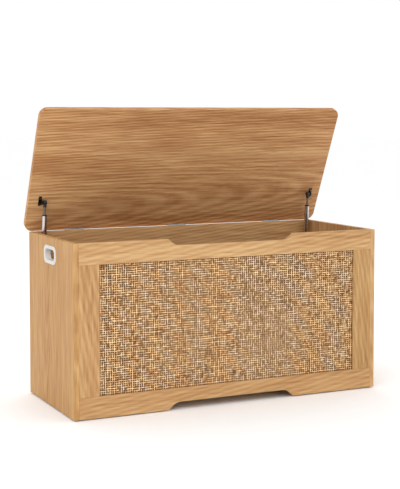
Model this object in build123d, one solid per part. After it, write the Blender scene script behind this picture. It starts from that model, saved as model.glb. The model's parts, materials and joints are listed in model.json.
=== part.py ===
from build123d import *
import os
from math import atan2, cos, degrees, hypot, radians, sin, tan

# A laminated-board toy box with a slab lid held open by two gas struts and a woven rattan front.
# Millimetres, +Z up, front towards -Y, floor at Z = 0. The origin is the middle of the ground
# that the box covers with its lid open. The lid is drawn open, as it stands in use.

# Carcass
CASE_WIDTH = 966.0
CASE_DEPTH = 387.0
CASE_HEIGHT = 482.0
BOARD = 15.0
EDGE_ROUND = 1.0

# Front frame and the woven panel held in a rebate behind it
STILE_WIDTH = 60.0
RAIL_HEIGHT = 60.0
FRAME_LIP = 5.0
REBATE_LAP = 12.0
RATTAN_THICKNESS = 2.5
BACKING_THICKNESS = 3.0
PANEL_PLAY = 0.5

# Finger notch in the top rail, plinth notch in the bottom rail
NOTCH_WIDTH = 402.0
FINGER_NOTCH_DEPTH = 18.5
PLINTH_NOTCH_DEPTH = 20.5
NOTCH_SLOPE = 42.0
NOTCH_RADIUS = 40.0

# Storage floor, measured from the lower edges of the boards
FLOOR_LIFT = 27.0

# Lid and its hinge line
LID_SIDE_OVERHANG = 14.0
LID_FRONT_OVERHANG = 8.0
LID_THICKNESS = 15.0
LID_CORNER = 25.0
LID_GAP = 0.5
LID_OPEN_ANGLE = 65.3

# Butt hinges
HINGE_PITCH = 340.0
HINGE_WIDTH = 60.0
HINGE_RECESS_PLAY = 1.0
KNUCKLE_RADIUS = 3.5
KNUCKLE_STANDOFF = 0.5
PIN_RADIUS = 1.6
PIN_CLEARANCE = 0.05
KNUCKLE_GAP = 0.3
LEAF_THICKNESS = 1.5
CASE_LEAF_HEIGHT = 30.0
LEAF_SCREW_PITCH = 40.0
CASE_SCREW_DROP = 18.0
LID_SCREW_RISE = 9.0
LEAF_RELIEF = 0.7

# Grip openings in the sides, each lined with a moulded insert
GRIP_LENGTH = 79.0
GRIP_HEIGHT = 31.0
GRIP_CORNER = 13.0
GRIP_DROP = 49.0
LINER_WALL = 3.0
LINER_PLAY = 0.25
FLANGE_END_BORDER = 11.5
FLANGE_EDGE_BORDER = 10.5
FLANGE_CORNER = 20.0
FLANGE_PROUD = 2.5
FLANGE_ROUND = 1.8

# Gas struts: where they stand and what they are made of
STRUT_FROM_SIDE = 19.0
STRUT_FROM_BACK = 10.0
STRUT_FOOT_DROP = 160.0
STRUT_HEAD_REACH = 102.0
STRUT_HEAD_STANDOFF = 10.0
BALL_RADIUS = 4.0
BALL_CLEARANCE = 0.1
STUD_RADIUS = 2.4
STUD_COLLAR = 4.2
COLLAR_LENGTH = 1.5
MOUTH_PLAY = 1.0
SOCKET_RADIUS = 6.5
SOCKET_HALF = 5.0
SOCKET_ROUND = 0.8
SHANK_RADIUS = 5.0
SHANK_LENGTH = 14.0
THREAD_RADIUS = 2.5
THREAD_LENGTH = 6.0
ROD_RADIUS = 3.0
TUBE_RADIUS = 7.5
TUBE_WALL = 1.0
TUBE_TOP_REACH = 40.0
TUBE_FOOT_CLEARANCE = 3.5
CAP_FLANGE = 3.0
CAP_PLUG = 4.0
GUIDE_LENGTH = 10.0
GUIDE_FLANGE = 1.5
PISTON_LENGTH = 8.0
STOP_GAP = 0.5
SLIDING_CLEARANCE = 0.05

# Strut brackets
PLATE = 2.0
BRACKET_LENGTH = 30.0
FOOT_PLATE_WIDTH = 18.0
TAB_CLEARANCE = 0.5
TAB_WIDTH = 15.0
TAB_MARGIN = 6.0
PLATE_CORNER = 3.0
HEAD_PLATE_WIDTH = 9.0
OPEN_PIVOT_GAP = 0.3
BRACKET_SCREW_SPREAD = 9.0

# Screws, dowels and cam fasteners
SCREW_RADIUS = 1.6
SCREW_HEAD = 3.0
SCREW_HEAD_HEIGHT = 1.5
SCREW_LENGTH = 12.0
FASTENER_PLAY = 0.1
DOWEL_RADIUS = 4.0
DOWEL_IN_SIDE = 10.0
DOWEL_IN_EDGE = 20.0
FRAME_DOWEL_RADIUS = 3.0
FRAME_DOWEL_HALF = 15.0
CAM_RADIUS = 7.5
CAM_SKIN = 2.5
CAM_FROM_EDGE = 24.0
CAM_BOLT_RADIUS = 2.5
CAM_BOLT_IN_SIDE = 10.0
CAM_BOLT_HEAD = 3.5
CAM_BOLT_HEAD_LENGTH = 3.0
CAM_FACE_INSET = 0.5
TOP_CAM_DROP = 16.0
TOP_DOWEL_DROP = 36.0
PLINTH_CAM_RISE = 13.0
PLINTH_DOWEL_RISE = 33.0
BACK_CAM_DROP = 50.0
BACK_CAM_RISE = 90.0
BACK_DOWEL_DROP = 20.0
BACK_DOWEL_RISE = 60.0
FLOOR_CAM_SETBACK = 70.0

# Nail-on glides under the side panels
GLIDE_HEIGHT = 3.0
GLIDE_RADIUS = 6.0
GLIDE_INSET = 25.0
NAIL_RADIUS = 1.0
NAIL_LENGTH = 12.0

# Places that follow from the sizes above; Y is counted back from the front face until the end
BASE_Z = GLIDE_HEIGHT
TOP_Z = BASE_Z + CASE_HEIGHT
REAR_Y = CASE_DEPTH
SIDE_X = CASE_WIDTH / 2
INNER_X = SIDE_X - BOARD
OPENING_X = INNER_X - STILE_WIDTH
OPENING_LOW = BASE_Z + RAIL_HEIGHT
OPENING_HIGH = TOP_Z - RAIL_HEIGHT
FLOOR_Z = BASE_Z + FLOOR_LIFT
LID_X = SIDE_X + LID_SIDE_OVERHANG
GRIP_Y = CASE_DEPTH / 2
GRIP_Z = TOP_Z - GRIP_DROP
AXIS_Y = REAR_Y + KNUCKLE_RADIUS + KNUCKLE_STANDOFF
AXIS_Z = TOP_Z
HINGE_LINE = Axis((0, AXIS_Y, AXIS_Z), (1, 0, 0))
STRUT_X = INNER_X - STRUT_FROM_SIDE
FOOT_Y = REAR_Y - BOARD - STRUT_FROM_BACK
FOOT_Z = TOP_Z - STRUT_FOOT_DROP
TAB_OFFSET = TUBE_RADIUS + TAB_CLEARANCE
CAM_DEPTH = BOARD - CAM_FACE_INSET - CAM_SKIN


def strut_head(angle):
    """Return Y and Z of the strut's upper ball when the lid stands open by an angle in degrees."""
    turn = radians(angle)
    y = AXIS_Y - STRUT_HEAD_REACH * cos(turn) - STRUT_HEAD_STANDOFF * sin(turn)
    z = AXIS_Z + STRUT_HEAD_REACH * sin(turn) - STRUT_HEAD_STANDOFF * cos(turn)
    return y, z


def strut_span(angle):
    """Return the strut's length between balls and its slope above +Y, in degrees."""
    y, z = strut_head(angle)
    return hypot(y - FOOT_Y, z - FOOT_Z), degrees(atan2(z - FOOT_Z, y - FOOT_Y))


STRUT_OPEN, STRUT_OPEN_SLOPE = strut_span(LID_OPEN_ANGLE)
STRUT_SHUT, _ = strut_span(0)
TUBE_BORE = TUBE_RADIUS - TUBE_WALL
TUBE_LENGTH = STRUT_SHUT - TUBE_TOP_REACH - SHANK_LENGTH - TUBE_FOOT_CLEARANCE
TUBE_TOP = STRUT_OPEN - TUBE_TOP_REACH
TUBE_FOOT = TUBE_TOP - TUBE_LENGTH
PISTON_FOOT = TUBE_FOOT + GUIDE_LENGTH + STOP_GAP

parts = {}


# Helpers

def block(x, y, z):
    """A plain block between two values on each axis."""
    size = (x[1] - x[0], y[1] - y[0], z[1] - z[0])
    middle = (sum(x) / 2, sum(y) / 2, sum(z) / 2)
    return Pos(*middle) * Box(*size)


def board(x, y, z):
    """A board whose arrises are rounded as edge banding leaves them."""
    plain = block(x, y, z)
    return fillet(plain.edges(), EDGE_ROUND)


def bar(start, direction, length, radius):
    """A round bar from a point along a direction."""
    grow_up = (Align.CENTER, Align.CENTER, Align.MIN)
    return Plane(origin=start, z_dir=direction) * Cylinder(radius, length, align=grow_up)


def screw(head, direction, length=SCREW_LENGTH, play=0.0):
    """A countersunk screw: its head's face centre, and the way it is driven."""
    grow_up = (Align.CENTER, Align.CENTER, Align.MIN)
    place = Plane(origin=head, z_dir=direction)
    cone = Cone(SCREW_HEAD + play, SCREW_RADIUS + play, SCREW_HEAD_HEIGHT, align=grow_up)
    return place * cone + bar(head, direction, length + play, SCREW_RADIUS + play)


def open_up(shape):
    """Turn a shape drawn on the closed lid to where the open lid holds it."""
    return shape.rotate(HINGE_LINE, -LID_OPEN_ANGLE)


def cut(shape, tools):
    """Take each tool away from a shape."""
    for tool in tools:
        shape = shape - tool
    return shape


def group(shapes):
    """Separate like pieces kept together as one."""
    return Compound([solid for shape in shapes for solid in shape.solids()])


def add(name, shape):
    """Keep a finished piece under its name."""
    parts[name] = shape


# Knock-down fasteners: every hole is its fastener grown by the play

def cam_joints():
    """List each cam joint: the cam's middle in the board, the way its face looks, and its side."""
    mid_front = BOARD / 2
    mid_rear = REAR_Y - BOARD / 2
    mid_floor = FLOOR_Z + BOARD / 2
    backwards = (0, 1, 0)
    downwards = (0, 0, -1)
    joints = []
    for side in (-1, 1):
        x = side * (INNER_X - CAM_FROM_EDGE)
        joints.append(((x, mid_front, TOP_Z - TOP_CAM_DROP), backwards, side))
        joints.append(((x, mid_front, BASE_Z + PLINTH_CAM_RISE), backwards, side))
        joints.append(((x, mid_rear, TOP_Z - BACK_CAM_DROP), backwards, side))
        joints.append(((x, mid_rear, BASE_Z + BACK_CAM_RISE), backwards, side))
        joints.append(((x, BOARD + FLOOR_CAM_SETBACK, mid_floor), downwards, side))
        joints.append(((x, REAR_Y - BOARD - FLOOR_CAM_SETBACK, mid_floor), downwards, side))
    return joints


def cam_bolt(joint, play=0.0):
    """A bolt from inside the side panel to the middle of its cam."""
    (x, y, z), _, side = joint
    start = (side * (INNER_X + CAM_BOLT_IN_SIDE + play), y, z)
    length = CAM_BOLT_IN_SIDE + CAM_FROM_EDGE + play
    shaft = bar(start, (-side, 0, 0), length, CAM_BOLT_RADIUS + play)
    head_start = (x + side * CAM_BOLT_HEAD_LENGTH / 2, y, z)
    head = bar(head_start, (-side, 0, 0), CAM_BOLT_HEAD_LENGTH + play, CAM_BOLT_HEAD + play)
    return shaft + head


def cam_barrel(joint, top, depth, radius):
    """A round bar into a board's hidden face, from a height above the board's middle."""
    middle, facing, _ = joint
    start = Vector(*middle) + Vector(*facing) * top
    return bar(start, Vector(*facing) * -1, depth, radius)


def cam_disc(joint):
    """The disc that is turned to pull on the bolt's head, let in below the board's face."""
    disc = cam_barrel(joint, BOARD / 2 - CAM_FACE_INSET, CAM_DEPTH, CAM_RADIUS)
    return disc - cam_bolt(joint, FASTENER_PLAY)


def cam_hole(joint):
    """The blind hole that holds a cam disc."""
    depth = CAM_FACE_INSET + CAM_DEPTH + FASTENER_PLAY
    return cam_barrel(joint, BOARD / 2, depth, CAM_RADIUS + FASTENER_PLAY)


def side_dowels(play=0.0):
    """Dowels between the side panels and the boards that end on them."""
    mid_rear = REAR_Y - BOARD / 2
    places = [
        (BOARD / 2, TOP_Z - TOP_DOWEL_DROP),
        (BOARD / 2, BASE_Z + PLINTH_DOWEL_RISE),
        (mid_rear, TOP_Z - BACK_DOWEL_DROP),
        (mid_rear, BASE_Z + CASE_HEIGHT / 2),
        (mid_rear, BASE_Z + BACK_DOWEL_RISE),
        (CASE_DEPTH / 2, FLOOR_Z + BOARD / 2),
    ]
    length = DOWEL_IN_SIDE + DOWEL_IN_EDGE + 2 * play
    dowels = []
    for side in (-1, 1):
        start_x = side * (INNER_X + DOWEL_IN_SIDE + play)
        for y, z in places:
            dowels.append(bar((start_x, y, z), (-side, 0, 0), length, DOWEL_RADIUS + play))
    return dowels


def frame_dowels(play=0.0):
    """Dowels that join each stile to the rail above it and the rail below it."""
    solid_width = STILE_WIDTH - REBATE_LAP
    length = 2 * (FRAME_DOWEL_HALF + play)
    dowels = []
    for side in (-1, 1):
        for share in (0.25, 0.75):
            x = side * (OPENING_X + REBATE_LAP + share * solid_width)
            for z in (OPENING_LOW, OPENING_HIGH):
                start = (x, BOARD / 2, z - FRAME_DOWEL_HALF - play)
                dowels.append(bar(start, (0, 0, 1), length, FRAME_DOWEL_RADIUS + play))
    return dowels


def fastener_holes():
    """Every hole that the knock-down fasteners need."""
    holes = side_dowels(FASTENER_PLAY) + frame_dowels(FASTENER_PLAY)
    for joint in cam_joints():
        holes.append(cam_bolt(joint, FASTENER_PLAY))
        holes.append(cam_hole(joint))
    return holes


def add_fasteners():
    """The dowels, cam bolts and cam discs, each kind in one node."""
    add("dowels", group(side_dowels() + frame_dowels()))
    add("cam_bolts", group([cam_bolt(joint) for joint in cam_joints()]))
    add("cam_discs", group([cam_disc(joint) for joint in cam_joints()]))


# Screws of the hinges and the strut brackets

def hinge_centres():
    """X of each hinge, left to right."""
    return [-HINGE_PITCH, 0.0, HINGE_PITCH]


def leaf_screws(z, play):
    """Two screws through each leaf on the rear plane, at one height."""
    screws = []
    for x in hinge_centres():
        for shift in (-LEAF_SCREW_PITCH / 2, LEAF_SCREW_PITCH / 2):
            head = (x + shift, REAR_Y + LEAF_THICKNESS, z)
            screws.append(screw(head, (0, -1, 0), play=play))
    return screws


def case_leaf_screws(play=0.0):
    """The screws of the lower leaves, into the back panel."""
    return leaf_screws(TOP_Z - CASE_SCREW_DROP, play)


def lid_leaf_screws(play=0.0):
    """The screws of the upper leaves, into the lid's rear edge, as on the closed lid."""
    return leaf_screws(AXIS_Z + LID_GAP + LID_SCREW_RISE, play)


def foot_bracket_screws(play=0.0):
    """Two screws through each foot bracket into the side panel."""
    screws = []
    for side in (-1, 1):
        for rise in (-BRACKET_SCREW_SPREAD, BRACKET_SCREW_SPREAD):
            head = (side * (INNER_X - PLATE), FOOT_Y, FOOT_Z + rise)
            screws.append(screw(head, (side, 0, 0), play=play))
    return screws


def head_bracket_screws(play=0.0):
    """Two screws through each head bracket into the lid, as on the closed lid."""
    underside = AXIS_Z + LID_GAP
    x_off = TAB_OFFSET + PLATE + (HEAD_PLATE_WIDTH - PLATE) / 2
    screws = []
    for side in (-1, 1):
        for shift in (-BRACKET_SCREW_SPREAD, BRACKET_SCREW_SPREAD):
            head = (side * (STRUT_X + x_off), AXIS_Y - STRUT_HEAD_REACH + shift, underside - PLATE)
            screws.append(screw(head, (0, 0, 1), play=play))
    return screws


def add_screws():
    """The four groups of wood screws."""
    add("hinge_case_screws", group(case_leaf_screws()))
    add("hinge_lid_screws", group([open_up(one) for one in lid_leaf_screws()]))
    add("strut_case_screws", group(foot_bracket_screws()))
    add("strut_lid_screws", group([open_up(one) for one in head_bracket_screws()]))


# Carcass

def slot_between(x, length, height, corner):
    """A rounded rectangle about the grip's centre line, solid between two values of X."""
    outline = Plane.YZ * RectangleRounded(length, height, corner)
    return Pos(min(x), GRIP_Y, GRIP_Z) * extrude(outline, abs(x[1] - x[0]))


def grip_cutter(side, grow):
    """The grip opening, its outline grown outwards, right through a side panel and its liner."""
    x = (side * (INNER_X - BOARD), side * (SIDE_X + BOARD))
    return slot_between(x, GRIP_LENGTH + 2 * grow, GRIP_HEIGHT + 2 * grow, GRIP_CORNER + grow)


def glide(side, y, play=0.0):
    """A nail-on plastic glide under a side panel."""
    x = side * (SIDE_X - BOARD / 2)
    disc = bar((x, y, 0), (0, 0, 1), GLIDE_HEIGHT, GLIDE_RADIUS)
    foot = disc.faces().sort_by(Axis.Z)[0]
    disc = fillet(foot.edges(), EDGE_ROUND)
    return disc + bar((x, y, GLIDE_HEIGHT), (0, 0, 1), NAIL_LENGTH + play, NAIL_RADIUS + play)


def glides(play=0.0):
    """Four glides, one near each corner."""
    rows = (GLIDE_INSET, CASE_DEPTH - GLIDE_INSET)
    return [glide(side, y, play) for side in (-1, 1) for y in rows]


def add_sides(holes):
    """The two side panels, each with its grip opening."""
    tools = holes + foot_bracket_screws(FASTENER_PLAY) + glides(FASTENER_PLAY)
    for side, name in ((-1, "left_side"), (1, "right_side")):
        x = sorted((side * INNER_X, side * SIDE_X))
        panel = board(x, (0, CASE_DEPTH), (BASE_Z, TOP_Z))
        panel = panel - grip_cutter(side, LINER_WALL + LINER_PLAY)
        add(name, cut(panel, tools))


def notch_face(mouth_z, bed_z):
    """The notch's outline in the XZ plane, from its mouth to its bed."""
    run = abs(bed_z - mouth_z) / tan(radians(NOTCH_SLOPE))
    half = NOTCH_WIDTH / 2
    corners = [(-half, mouth_z), (half, mouth_z), (half - run, bed_z), (-half + run, bed_z)]
    face = make_face(Polyline(corners, close=True))
    bed = face.vertices().filter_by_position(Axis.Y, bed_z - EDGE_ROUND, bed_z + EDGE_ROUND)
    return Plane.XZ * fillet(bed, NOTCH_RADIUS)


def rail(z, mouth_z, bed_z):
    """A rail of the front frame with a shallow notch in its free edge."""
    blank = block((-INNER_X, INNER_X), (0, BOARD), z)
    cutter = extrude(notch_face(mouth_z, bed_z), BOARD, dir=(0, 1, 0))
    notched = blank - cutter
    front = notched.edges().group_by(Axis.Y)[0]
    return fillet(front, EDGE_ROUND)


def panel_pocket():
    """The rebate behind the frame's opening, as a block."""
    x = OPENING_X + REBATE_LAP
    z = (OPENING_LOW - REBATE_LAP, OPENING_HIGH + REBATE_LAP)
    return block((-x, x), (FRAME_LIP, BOARD), z)


def add_front_frame(holes):
    """Two rails and two stiles, rebated behind for the woven panel."""
    tools = [panel_pocket()] + holes
    top_rail = rail((OPENING_HIGH, TOP_Z), TOP_Z, TOP_Z - FINGER_NOTCH_DEPTH)
    add("front_top_rail", cut(top_rail, tools))
    bottom_rail = rail((BASE_Z, OPENING_LOW), BASE_Z, BASE_Z + PLINTH_NOTCH_DEPTH)
    add("front_bottom_rail", cut(bottom_rail, tools))
    for side, name in ((-1, "front_left_stile"), (1, "front_right_stile")):
        x = sorted((side * OPENING_X, side * INNER_X))
        add(name, cut(board(x, (0, BOARD), (OPENING_LOW, OPENING_HIGH)), tools))


def add_woven_front():
    """The woven sheet, its backing and the four beads that hold both in the rebate."""
    x = OPENING_X + REBATE_LAP - PANEL_PLAY
    low = OPENING_LOW - REBATE_LAP + PANEL_PLAY
    high = OPENING_HIGH + REBATE_LAP - PANEL_PLAY
    backing_y = FRAME_LIP + RATTAN_THICKNESS
    bead_y = backing_y + BACKING_THICKNESS
    add("rattan_panel", block((-x, x), (FRAME_LIP, backing_y), (low, high)))
    add("backing_panel", block((-x, x), (backing_y, bead_y), (low, high)))
    depth = (bead_y, BOARD)
    add("bead_top", block((-x, x), depth, (OPENING_HIGH, high)))
    add("bead_bottom", block((-x, x), depth, (low, OPENING_LOW)))
    add("bead_left", block((-x, -OPENING_X), depth, (OPENING_LOW, OPENING_HIGH)))
    add("bead_right", block((OPENING_X, x), depth, (OPENING_LOW, OPENING_HIGH)))


def add_back_and_floor(holes):
    """The back panel and the storage floor between the sides."""
    back = board((-INNER_X, INNER_X), (REAR_Y - BOARD, REAR_Y), (BASE_Z, TOP_Z))
    add("back_panel", cut(back, holes + case_leaf_screws(FASTENER_PLAY)))
    floor_board = board((-INNER_X, INNER_X), (BOARD, REAR_Y - BOARD), (FLOOR_Z, FLOOR_Z + BOARD))
    add("bottom_panel", cut(floor_board, holes))


def liner(side):
    """A moulded insert: a flange outside and a sleeve through the panel."""
    outer_x = side * (SIDE_X + FLANGE_PROUD)
    length = GRIP_LENGTH + 2 * FLANGE_END_BORDER
    height = GRIP_HEIGHT + 2 * FLANGE_EDGE_BORDER
    flange = slot_between((side * SIDE_X, outer_x), length, height, FLANGE_CORNER)
    grow = LINER_WALL
    sleeve_x = (side * INNER_X, side * SIDE_X)
    sleeve = slot_between(sleeve_x, GRIP_LENGTH + 2 * grow, GRIP_HEIGHT + 2 * grow, GRIP_CORNER + grow)
    insert = flange + sleeve - grip_cutter(side, 0)
    outside = insert.faces().filter_by(Plane.YZ).sort_by(Axis.X)[0 if side < 0 else -1]
    return fillet(outside.edges(), FLANGE_ROUND)


def add_liners():
    """The two grip liners."""
    add("grip_liner_left", liner(-1))
    add("grip_liner_right", liner(1))


# Lid and hinges

def lid_board():
    """The lid slab, as closed, back to the hinge line, with rounded corners and arrises."""
    y = (-LID_FRONT_OVERHANG, AXIS_Y)
    z = (AXIS_Z + LID_GAP, AXIS_Z + LID_GAP + LID_THICKNESS)
    slab = block((-LID_X, LID_X), y, z)
    slab = fillet(slab.edges().filter_by(Axis.Z), LID_CORNER)
    rims = slab.faces().filter_by(Axis.Z).edges()
    return fillet(rims, EDGE_ROUND)


def hinge_recess(x):
    """The room for one hinge in the lid's rear edge, as on the closed lid."""
    half = HINGE_WIDTH / 2 + HINGE_RECESS_PLAY
    z = (AXIS_Z, AXIS_Z + LID_THICKNESS + 2 * LID_GAP)
    return block((x - half, x + half), (REAR_Y, AXIS_Y + KNUCKLE_RADIUS), z)


def add_lid():
    """The lid, turned to where the struts hold it."""
    tools = lid_leaf_screws(FASTENER_PLAY) + head_bracket_screws(FASTENER_PLAY)
    tools = tools + [hinge_recess(x) for x in hinge_centres()]
    add("lid", open_up(cut(lid_board(), tools)))


def knuckle(x, segment):
    """One of a hinge's three barrel segments, counted 0, 1, 2 from the left."""
    width = (HINGE_WIDTH - 2 * KNUCKLE_GAP) / 3
    start = x - HINGE_WIDTH / 2 + segment * (width + KNUCKLE_GAP)
    barrel = bar((start, AXIS_Y, AXIS_Z), (1, 0, 0), width, KNUCKLE_RADIUS)
    return barrel, (start, start + width)


def leaf(x, plate_z, segments):
    """A hinge leaf on the rear plane: a plate, and its barrel segments at the hinge line."""
    y = (REAR_Y, REAR_Y + LEAF_THICKNESS)
    shape = block((x - HINGE_WIDTH / 2, x + HINGE_WIDTH / 2), y, plate_z)
    for segment in segments:
        barrel, span = knuckle(x, segment)
        tab_z = sorted((AXIS_Z, plate_z[0] if plate_z[0] > AXIS_Z else plate_z[1]))
        shape = shape + block(span, y, tab_z) + barrel
    start = (x - HINGE_WIDTH, AXIS_Y, AXIS_Z)
    return shape - bar(start, (1, 0, 0), 2 * HINGE_WIDTH, PIN_RADIUS + PIN_CLEARANCE)


def add_hinges():
    """Three butt hinges: a lower leaf, an upper leaf and a pin each."""
    relief = KNUCKLE_RADIUS + LEAF_RELIEF
    case_z = (TOP_Z - CASE_LEAF_HEIGHT, TOP_Z - relief)
    lid_z = (AXIS_Z + relief, AXIS_Z + LID_GAP + LID_THICKNESS - EDGE_ROUND)
    for x, place in zip(hinge_centres(), ("left", "middle", "right")):
        case_leaf = cut(leaf(x, case_z, (0, 2)), case_leaf_screws(FASTENER_PLAY))
        lid_leaf = cut(leaf(x, lid_z, (1,)), lid_leaf_screws(FASTENER_PLAY))
        add(f"hinge_case_leaf_{place}", case_leaf)
        add(f"hinge_lid_leaf_{place}", open_up(lid_leaf))
        start = (x - HINGE_WIDTH / 2, AXIS_Y, AXIS_Z)
        add(f"hinge_pin_{place}", bar(start, (1, 0, 0), HINGE_WIDTH, PIN_RADIUS))


# Gas struts, drawn along local +Z from the foot ball at 0 to the head ball, local +X outwards

def strut_place(side):
    """The strut's own plane, with the lid open."""
    slope = radians(STRUT_OPEN_SLOPE)
    origin = (side * STRUT_X, FOOT_Y, FOOT_Z)
    return Plane(origin=origin, x_dir=(side, 0, 0), z_dir=(0, cos(slope), sin(slope)))


def sleeve(low, high, radius, bore):
    """A round sleeve on the strut's axis between two heights."""
    ring = Circle(radius) - Circle(bore)
    return extrude(Pos(0, 0, low) * ring, high - low)


def pole(low, high, radius):
    """A round bar on the strut's axis between two heights."""
    return extrude(Pos(0, 0, low) * Circle(radius), high - low)


def ball_stud(reach):
    """A ball stud: its ball at the local origin, its collar's face at a reach towards +X."""
    neck = bar((0, 0, 0), (1, 0, 0), reach, STUD_RADIUS)
    collar = bar((reach - COLLAR_LENGTH, 0, 0), (1, 0, 0), COLLAR_LENGTH, STUD_COLLAR)
    return Sphere(BALL_RADIUS) + neck + collar


def ball_socket():
    """A moulded socket about the local origin, its shank towards +Z and its mouth towards +X."""
    barrel = bar((-SOCKET_HALF, 0, 0), (1, 0, 0), 2 * SOCKET_HALF, SOCKET_RADIUS)
    barrel = fillet(barrel.edges(), SOCKET_ROUND)
    shank = pole(0, SHANK_LENGTH, SHANK_RADIUS)
    mouth = bar((0, 0, 0), (1, 0, 0), 2 * SOCKET_HALF, STUD_RADIUS + MOUTH_PLAY)
    thread = pole(SHANK_LENGTH - THREAD_LENGTH, SHANK_LENGTH, THREAD_RADIUS + SLIDING_CLEARANCE)
    return barrel + shank - Sphere(BALL_RADIUS + BALL_CLEARANCE) - mouth - thread


def strut_pieces():
    """The pieces of one strut in its own plane, from the foot upwards."""
    head = Pos(0, 0, STRUT_OPEN)
    cap_top = TUBE_TOP + CAP_FLANGE
    neck_foot = TUBE_TOP - CAP_PLUG
    plug_radius = TUBE_BORE - SLIDING_CLEARANCE
    rod_bore = ROD_RADIUS + SLIDING_CLEARANCE
    thread_bore = THREAD_RADIUS + SLIDING_CLEARANCE
    thread_foot = SHANK_LENGTH - THREAD_LENGTH
    piston_top = PISTON_FOOT + PISTON_LENGTH
    neck_top = STRUT_OPEN - SHANK_LENGTH
    flange_foot = TUBE_FOOT - GUIDE_FLANGE
    flange_radius = TUBE_RADIUS - SLIDING_CLEARANCE * 4
    guide = sleeve(TUBE_FOOT, TUBE_FOOT + GUIDE_LENGTH, plug_radius, rod_bore)
    cap = sleeve(neck_foot, TUBE_TOP, plug_radius, rod_bore)
    rod = pole(SHANK_LENGTH, PISTON_FOOT, ROD_RADIUS)
    neck = pole(neck_foot, neck_top, ROD_RADIUS)
    return {
        "strut_foot_socket": ball_socket(),
        "strut_rod": rod + pole(thread_foot, piston_top, THREAD_RADIUS),
        "strut_piston": sleeve(PISTON_FOOT, piston_top, plug_radius, thread_bore),
        "strut_guide": guide + sleeve(flange_foot, TUBE_FOOT, flange_radius, rod_bore),
        "strut_tube": sleeve(TUBE_FOOT, TUBE_TOP, TUBE_RADIUS, TUBE_BORE),
        "strut_cap": cap + sleeve(TUBE_TOP, cap_top, flange_radius, rod_bore),
        "strut_neck": neck + pole(neck_top, neck_top + THREAD_LENGTH, THREAD_RADIUS),
        "strut_head_socket": head * Rot(180, 0, 0) * ball_socket(),
        "strut_head_stud": head * ball_stud(TAB_OFFSET - OPEN_PIVOT_GAP),
    }


def foot_bracket(side):
    """The plate that carries the foot stud on the side panel's inner face."""
    x = sorted((side * (INNER_X - PLATE), side * INNER_X))
    y = (FOOT_Y - FOOT_PLATE_WIDTH / 2, FOOT_Y + FOOT_PLATE_WIDTH / 2)
    plate = block(x, y, (FOOT_Z - BRACKET_LENGTH / 2, FOOT_Z + BRACKET_LENGTH / 2))
    plate = fillet(plate.edges().filter_by(Axis.X), PLATE_CORNER)
    return cut(plate, foot_bracket_screws(FASTENER_PLAY))


def head_bracket(side):
    """The angle plate under the lid whose tab carries the head stud, as on the closed lid."""
    y = AXIS_Y - STRUT_HEAD_REACH
    under = AXIS_Z + LID_GAP
    near = STRUT_X + TAB_OFFSET
    tab_x = sorted((side * near, side * (near + PLATE)))
    base_x = sorted((side * near, side * (near + HEAD_PLATE_WIDTH)))
    tab_z = (AXIS_Z - STRUT_HEAD_STANDOFF - TAB_MARGIN, under - PLATE)
    tab = block(tab_x, (y - TAB_WIDTH / 2, y + TAB_WIDTH / 2), tab_z)
    tip = tab.faces().sort_by(Axis.Z)[0].edges().filter_by(Axis.X)
    tab = fillet(tip, TAB_MARGIN)
    base = block(base_x, (y - BRACKET_LENGTH / 2, y + BRACKET_LENGTH / 2), (under - PLATE, under))
    return cut(tab + base, head_bracket_screws(FASTENER_PLAY))


def add_struts():
    """Both gas struts with the brackets and studs that carry them."""
    foot_reach = INNER_X - PLATE - STRUT_X
    for side, hand in ((-1, "left"), (1, "right")):
        place = strut_place(side)
        add(f"strut_foot_bracket_{hand}", foot_bracket(side))
        add(f"strut_foot_stud_{hand}", place * ball_stud(foot_reach))
        for name, shape in strut_pieces().items():
            add(f"{name}_{hand}", place * shape)
        add(f"strut_head_bracket_{hand}", open_up(head_bracket(side)))


# Assembly

def build():
    """Make every piece, then put the middle of the covered ground at the origin."""
    holes = fastener_holes()
    add_sides(holes)
    add_front_frame(holes)
    add_woven_front()
    add_back_and_floor(holes)
    add_liners()
    add("foot_glides", group(glides()))
    add_fasteners()
    add_screws()
    add_lid()
    add_hinges()
    add_struts()
    rear = max(shape.bounding_box().max.Y for shape in parts.values())
    shift = Pos(0, -rear / 2, 0)
    return {name: shift * shape for name, shape in parts.items()}


finished = build()
os.makedirs("parts", exist_ok=True)
for name, shape in finished.items():
    shape.label = name
    export_step(shape, f"parts/{name}.step")
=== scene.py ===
"""Finishes, woven front, screws and studio for a laminated-board toy box with a lid on gas struts."""

import json
import logging
from collections.abc import Iterable, Mapping, Sequence
from dataclasses import dataclass, field
from enum import Enum
from math import cos, pi, radians, sin

import bmesh
import bpy
import numpy as np
from mathutils import Matrix, Vector


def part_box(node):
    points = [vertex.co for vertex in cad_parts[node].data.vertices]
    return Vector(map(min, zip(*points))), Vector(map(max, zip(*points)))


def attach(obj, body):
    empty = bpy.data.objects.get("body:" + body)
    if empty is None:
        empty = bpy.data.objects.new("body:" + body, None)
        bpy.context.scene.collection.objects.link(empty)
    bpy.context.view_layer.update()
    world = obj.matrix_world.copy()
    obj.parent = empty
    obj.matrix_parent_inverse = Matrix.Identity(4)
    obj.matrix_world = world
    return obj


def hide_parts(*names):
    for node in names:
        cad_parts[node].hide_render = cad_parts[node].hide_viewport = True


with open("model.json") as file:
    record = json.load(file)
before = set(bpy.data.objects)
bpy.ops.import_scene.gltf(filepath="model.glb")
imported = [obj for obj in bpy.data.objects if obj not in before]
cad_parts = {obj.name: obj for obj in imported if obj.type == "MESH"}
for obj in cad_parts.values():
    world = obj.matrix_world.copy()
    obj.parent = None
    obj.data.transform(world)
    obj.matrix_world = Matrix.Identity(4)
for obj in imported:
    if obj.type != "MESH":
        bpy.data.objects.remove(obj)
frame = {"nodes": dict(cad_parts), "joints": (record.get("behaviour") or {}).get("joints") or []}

LOG = logging.getLogger("toy_box")
MM = 0.001
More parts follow.
